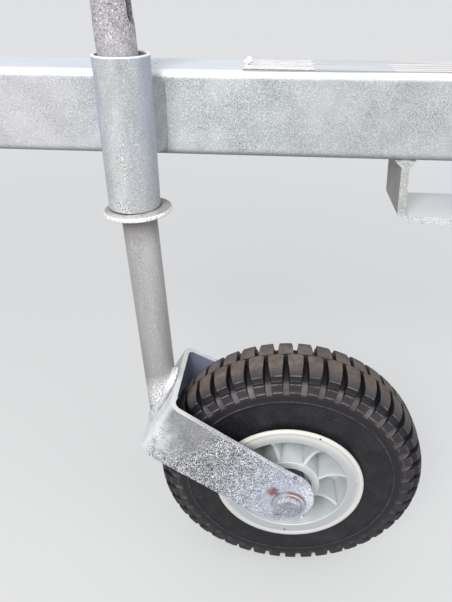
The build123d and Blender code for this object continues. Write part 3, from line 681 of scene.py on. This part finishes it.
# Bushes: flanged, moulded in pale nylon and pressed into the rim's hub from both sides. They turn
# on the axle bolt. They are painted dark grey, the shade inside the hub, with darker glossy
# spots.
nylon, tree, shader = new_material("shaded_nylon")
place = add(tree, "TexCoord").outputs["Object"]
shader.inputs["Base Color"].default_value = linear("#5b5c5f")
shader.inputs["Roughness"].default_value = 0.45
layer(tree, shader, [speckle(tree, place, 9, 0.45, 0.65, 3.0)], "#38373a", roughness=0.3)
dress(["bush_near", "bush_far"], nylon)


# Tyre: a cross-ply casing with two rows of block lugs, half a pitch apart, that meet at a
# continuous rib. The lugs step down over the shoulder, and the grooves widen outwards and
# run out on the sidewall. Black rubber, worn brown with road dust on top; the dust lies where
# the light from the upper left falls, and so paints that light too. The lugs' steps and the
# sidewall's ring carry painted highlights, and the grooves near the centre painted shade.
lug_count = 45
first_groove = math.radians(3.5)
pitch = 2 * math.pi / lug_count
# Half section: distance along it, then radius and width of the lugs' surface, then of the
# grooves' floor, all in millimetres
section = np.array([
    (0.0, 203.1, 0.0, 203.1, 0.0),
    (0.5, 203.5, 0.5, 203.5, 0.5),
    (1.1, 203.1, 1.1, 203.1, 1.1),
    (2.4, 203.1, 2.4, 203.1, 2.4),
    (2.8, 203.1, 2.8, 202.2, 2.7),
    (3.6, 203.1, 3.6, 196.8, 3.6),
    (4.6, 203.1, 4.6, 195.2, 4.6),
    (14.0, 202.8, 14.0, 194.5, 13.3),
    (22.0, 202.2, 22.0, 192.8, 20.3),
    (29.0, 200.6, 29.0, 190.4, 27.0),
    (34.0, 198.6, 34.0, 188.0, 31.4),
    (38.0, 196.4, 37.8, 185.8, 34.6),
    (39.6, 195.4, 39.2, 184.9, 36.0),
    (40.3, 194.9, 39.8, 184.5, 36.7),
    (41.0, 194.2, 40.2, 184.1, 37.4),
    (44.5, 190.9, 41.3, 182.6, 40.0),
    (48.0, 187.6, 42.5, 181.0, 42.3),
    (49.5, 186.4, 43.6, 180.2, 43.3),
    (51.8, 185.7, 45.8, 178.8, 44.6),
    (52.6, 185.2, 46.7, 178.4, 45.0),
    (53.4, 184.3, 47.2, 177.8, 45.4),
    (58.5, 179.2, 48.0, 174.4, 47.2),
    (64.2, 173.6, 48.7, 170.2, 48.5),
    (65.0, 173.0, 49.2, 169.7, 48.8),
    (65.8, 172.3, 49.9, 169.2, 48.9),
    (66.8, 171.3, 50.1, 168.5, 49.1),
    (69.0, 169.2, 50.0, 167.2, 49.4),
    (71.5, 166.6, 49.8, 165.6, 49.7),
    (73.0, 165.0, 49.8, 165.0, 49.8),
    (78.0, 160.0, 50.0, 160.0, 50.0),
    (80.6, 157.4, 50.05, 157.4, 50.05),
    (81.2, 156.8, 50.5, 156.8, 50.5),
    (81.8, 156.2, 50.6, 156.2, 50.6),
    (82.4, 155.6, 50.1, 155.6, 50.1),
    (92.0, 146.0, 50.2, 146.0, 50.2),
    (106.0, 132.0, 50.0, 132.0, 50.0),
    (118.0, 120.0, 49.7, 120.0, 49.7),
    (127.0, 111.0, 49.4, 111.0, 49.4),
    (133.0, 105.0, 48.0, 105.0, 48.0),
    (140.0, 99.3, 42.0, 99.3, 42.0),
    (180.0, 99.3, 0.0, 99.3, 0.0),
])
# The stretches that the half section is cut into, and the steps in each
stretches = (
    (0.0, 1.1, 3),
    (1.1, 4.6, 6),
    (4.6, 38.0, 9),
    (38.0, 41.0, 5),
    (41.0, 49.5, 4),
    (49.5, 53.4, 6),
    (53.4, 64.2, 3),
    (64.2, 66.8, 4),
    (66.8, 73.0, 4),
    (73.0, 80.6, 2),
    (80.6, 82.4, 4),
    (82.4, 140.0, 9),
)
stations = np.concatenate([np.linspace(a, b, n, endpoint=False) for a, b, n in stretches] + [[140.0, 170.0]])
half = np.stack([np.interp(stations, section[:, 0], section[:, k]) for k in range(1, 5)], axis=1) / 1000
mirrored = half[:0:-1] * np.array([1, -1, 1, -1])
lug_r, lug_z, floor_r, floor_z = np.concatenate([mirrored, half]).T[:, :, None]
# Distance along the whole section, below 0 on the far side
run = np.concatenate([-stations[:0:-1], stations])[:, None]
off_centre = np.abs(run)
# Half width of a groove at each row, from the centre out to the shoulder
groove_half = np.interp(off_centre, (2.0, 18.0, 38.0, 50.0, 70.0), (0.0028, 0.0035, 0.0050, 0.0052, 0.0048))
# Columns over one pitch from a groove's centre: as multiples of its half width, as added
# metres, and the lug's height there
columns = (
    (0.0, 0.0, 0.0),
    (0.7, 0.0, 0.0),
    (0.86, 0.0, 0.04),
    (0.95, 0.0, 0.5),
    (1.0, 0.0, 0.95),
    (1.0, 0.0004, 1.0),
    (1.0, 0.0016, 1.0),
)
wide, extra, height = np.array(columns).T
groove_angle = (wide * groove_half + extra) / np.maximum(lug_r, 0.15)
lug_share = np.linspace(0, 1, 5)[1:-1]
lug_angle = groove_angle[:, -1:] + (pitch - 2 * groove_angle[:, -1:]) * lug_share
one_pitch = np.concatenate([groove_angle, lug_angle, pitch - groove_angle[:, :0:-1]], axis=1)
lug_height = np.concatenate([height, np.ones(len(lug_share)), height[:0:-1]])[None, :]
# The far side's pattern is half a pitch on: its columns are rolled half way round
per_pitch = one_pitch.shape[1]
half_turn = per_pitch // 2
rolled = np.roll(one_pitch, half_turn, axis=1) + pitch * (0.5 - (np.arange(per_pitch) < half_turn))
shape_angle = np.where(run < 0, rolled, one_pitch)
shape_height = np.where(run < 0, np.roll(lug_height, half_turn, axis=1), lug_height)
# Evenly spaced columns at the rib and on the sidewall settle into the lugs' own between them
even = np.arange(per_pitch)[None, :] * pitch / per_pitch
settle = np.clip((off_centre - 0.6) / 1.6, 0, 1)
settle = np.minimum(settle, np.clip((100 - off_centre) / 25, 0, 1))
angle = even * (1 - settle) + shape_angle * settle
raised = np.where(np.abs(lug_r - floor_r) + np.abs(lug_z - floor_z) > 1e-7, shape_height, 1.0)
radial = floor_r + (lug_r - floor_r) * raised
width = floor_z + (lug_z - floor_z) * raised
turns = (np.arange(lug_count) * pitch + first_groove)[None, :, None]
angle = (angle[:, None, :] + turns).reshape(len(run), -1)
radial = np.tile(radial, (1, lug_count))
width = np.tile(width, (1, lug_count))
tyre_grid = (
    wheel_centre
    + (radial * np.cos(angle))[..., None] * trail_dir
    + (radial * np.sin(angle))[..., None] * stem_up
    + width[..., None] * axle_dir
)
tyre = patch_mesh("tyre_casing", tyre_grid, ring=True)
# Each vertex keeps its height in the lug, from 0 on a groove's floor to 1, and its distance
# along the section in millimetres
kept = {"lug_height": np.tile(shape_height, (1, lug_count)), "run_mm": off_centre + 0 * angle}
for name, values in kept.items():
    stored = tyre.data.attributes.new(name, "FLOAT", "POINT")
    stored.data.foreach_set("value", values.astype(np.float32).ravel())
rubber, tree, shader = new_material("dusty_black_rubber")
place = add(tree, "TexCoord").outputs["Object"]
high = add(tree, "Attribute", attribute_name="lug_height").outputs["Fac"]
run_mm = add(tree, "Attribute", attribute_name="run_mm").outputs["Fac"]
shader.inputs["Base Color"].default_value = linear("#17171c")
shader.inputs["Roughness"].default_value = 0.5
shader.inputs["Specular IOR Level"].default_value = 0.3
# Dust settles most where the rubber faces up, a little to the left: towards the light, so this
# mask paints the light on the tyre as well as its dust
dust_and_light_from = (-0.35, -0.15, 0.92)
smudge = speckle(tree, place, 30, 0.3, 0.7, 6.0)
dust_and_light = mask(tree, (smudge, -0.7, 0.9), (facing(tree, dust_and_light_from), -0.35, 0.95))
on_lug = mask(tree, (high, 0.9, 1.0))
on_floor = mask(tree, (high, 0.3, 0.02))
crown = mask(tree, (run_mm, 40.6, 39.8))
shoulder = mask(tree, (run_mm, 39.5, 41.0), (run_mm, 74.0, 66.0))
layer(tree, shader, [(run_mm, 82.5, 81.0), (run_mm, 40, 70)], "#201e22", roughness=0.6)
lower_step = mask(tree, shoulder, on_lug, dust_and_light, (run_mm, 51.0, 55.0))
layer(tree, shader, [lower_step], "#4b4448", roughness=0.65)
layer(tree, shader, [crown, on_lug], "#363338", roughness=0.6)
mottle = mask(tree, (speckle(tree, place, 8, 0.3, 0.7, 6.0), -0.7, 0.7))
worn_and_lit_top = [crown, on_lug, dust_and_light, (run_mm, 40.0, 20.0), mottle]
layer(tree, shader, worn_and_lit_top, "#7d7066", roughness=0.75)
# Strips between the lugs' feet, lighter with dust and with painted light on the sloping floors,
# and groove floors and walls nearer the centre painted black as shade
lit_dusty_strip = mask(tree, (run_mm, 40.0, 48.0), (run_mm, 70.0, 64.0), on_floor)
layer(tree, shader, [lit_dusty_strip, dust_and_light], "#7e7676", roughness=0.8)
layer(tree, shader, [(run_mm, 38.0, 28.0), (high, 0.8, 0.3)], "#151215", roughness=0.7)
# Pale broken lines along the seam, and where the lugs step down and on the sidewall's ring; these
# two are painted highlights on the edges
step_lines_mm = (40.6, 53.0, 65.4)
broken = mask(tree, speckle(tree, place, 9, 0.3, 0.6, 3.0), (dust_and_light, 0.0, 0.5))
for line_mm in step_lines_mm:
    rising = mask(tree, (run_mm, line_mm - 0.7, line_mm))
    step_highlight = mask(tree, rising, (run_mm, line_mm + 0.7, line_mm), on_lug)
    layer(tree, shader, [step_highlight, broken], "#8a8181", roughness=0.6)
seam = mask(tree, (run_mm, 1.0, 0.6), speckle(tree, place, 14, 0.4, 0.6, 3.0))
layer(tree, shader, [seam, 0.6], "#6d5850", roughness=0.8)
ring = [(run_mm, 80.2, 81.2), (run_mm, 82.4, 81.8), broken]
layer(tree, shader, ring, "#5a5557", roughness=0.5)
# The sidewall has a thin dusty film and a few fine scuffs
sidewall = mask(tree, (run_mm, 82.0, 86.0))
layer(tree, shader, [sidewall, speckle(tree, place, 26, 0.45, 0.7, 6.0), 0.5], "#353033", roughness=0.6)
layer(tree, shader, [sidewall, speckle(tree, place, 2.5, 0.6, 0.7, 3.0), 0.35], "#5a5a62", roughness=0.7)
fine_grain(tree, shader, place, size_mm=1.2, detail=3.0, depth=0.0004, strength=0.12)
tyre.data.materials.append(rubber)
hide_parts("tyre")
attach(tyre, "wheel")


# Valve: a stem and cap of moulded black rubber, set in a pocket of the rim behind the near arm.
# Dust lies on it in pale spots.
valve_rubber, tree, shader = new_material("valve_rubber")
place = add(tree, "TexCoord").outputs["Object"]
shader.inputs["Base Color"].default_value = linear("#2c2b2e")
shader.inputs["Roughness"].default_value = 0.5
layer(tree, shader, [speckle(tree, place, 4, 0.45, 0.7)], "#4c4945", roughness=0.8)
dress(["valve"], valve_rubber)


# Floor and light: a plain pale floor that fades into a pale backdrop, an even sky, a broad key
# from the upper left and a weak fill from the right.
def shows_backdrop(tree):
    """1 for rays from the camera and for those that metal mirrors or glass lets through, 0 for
    the rest, so that a pale backdrop adds no light to the object."""
    rays = add(tree, "LightPath").outputs
    direct = add(tree, "Math", {0: rays["Is Camera Ray"], 1: rays["Is Glossy Ray"]}, operation="MAXIMUM")
    through = {0: direct.outputs[0], 1: rays["Is Transmission Ray"]}
    return add(tree, "Math", through, operation="MAXIMUM").outputs[0]


floor_half = 6.0
floor_z = cad_box[0][2] - 0.0005
backdrop_colour = "#dfe1e3"
sky_colour = (0.92, 0.95, 1.0, 1)
sky_strength = 0.685
# Each lamp: name, place, size across in metres, and watts
lamps = (("key", (-0.6, -2.3, 1.6), 1.3, 76), ("fill", (1.8, -1.2, 0.8), 1.8, 14))
look_at = Vector((0.1, -0.1, -0.3))
corners = [(-floor_half, -floor_half, floor_z), (floor_half, -floor_half, floor_z)]
corners += [(floor_half, floor_half, floor_z), (-floor_half, floor_half, floor_z)]
floor_mesh = bpy.data.meshes.new("floor")
floor_mesh.from_pydata(corners, [], [(0, 1, 2, 3)])
floor = bpy.data.objects.new("floor", floor_mesh)
bpy.context.collection.objects.link(floor)
floor_paint, tree, shader = new_material("floor_paint")
seen = shows_backdrop(tree)
tone = add(tree, "Mix", {0: seen, 6: linear("#8f8d8a"), 7: linear("#d3d2cf")}, data_type="RGBA")
tree.links.new(tone.outputs[2], shader.inputs["Base Color"])
shader.inputs["Roughness"].default_value = 0.9
place = add(tree, "TexCoord").outputs["Object"]
away = add(tree, "VectorMath", {0: place, 1: tuple(cad_box[0])}, operation="DISTANCE").outputs["Value"]
faded = add(tree, "MapRange", {"Value": away, "From Min": 0.6, "From Max": 3.0, "To Min": 0.5})
glow = add(tree, "Emission", {"Color": linear(backdrop_colour)})
glowing = mask(tree, seen, faded.outputs[0])
blend = add(tree, "MixShader", {0: glowing, 1: shader.outputs[0], 2: glow.outputs[0]})
tree.links.new(blend.outputs[0], tree.nodes["Material Output"].inputs[0])
floor.data.materials.append(floor_paint)

world = bpy.data.worlds.new("studio")
world.use_nodes = True
tree = world.node_tree
sky = tree.nodes["Background"]
sky.inputs["Color"].default_value = sky_colour
sky.inputs["Strength"].default_value = sky_strength
backdrop = add(tree, "Background", {"Color": linear(backdrop_colour)})
blend = add(tree, "MixShader", {0: shows_backdrop(tree), 1: sky.outputs[0], 2: backdrop.outputs[0]})
tree.links.new(blend.outputs[0], tree.nodes["World Output"].inputs[0])
bpy.context.scene.world = world
for name, lamp_at, size, watts in lamps:
    lamp_data = bpy.data.lights.new(name, "AREA")
    lamp_data.size = size
    lamp_data.energy = watts
    lamp = bpy.data.objects.new(name, lamp_data)
    lamp.location = lamp_at
    lamp.rotation_euler = (look_at - Vector(lamp_at)).to_track_quat("-Z", "Y").to_euler()
    bpy.context.collection.objects.link(lamp)
bpy.context.scene.view_settings.view_transform = "Standard"
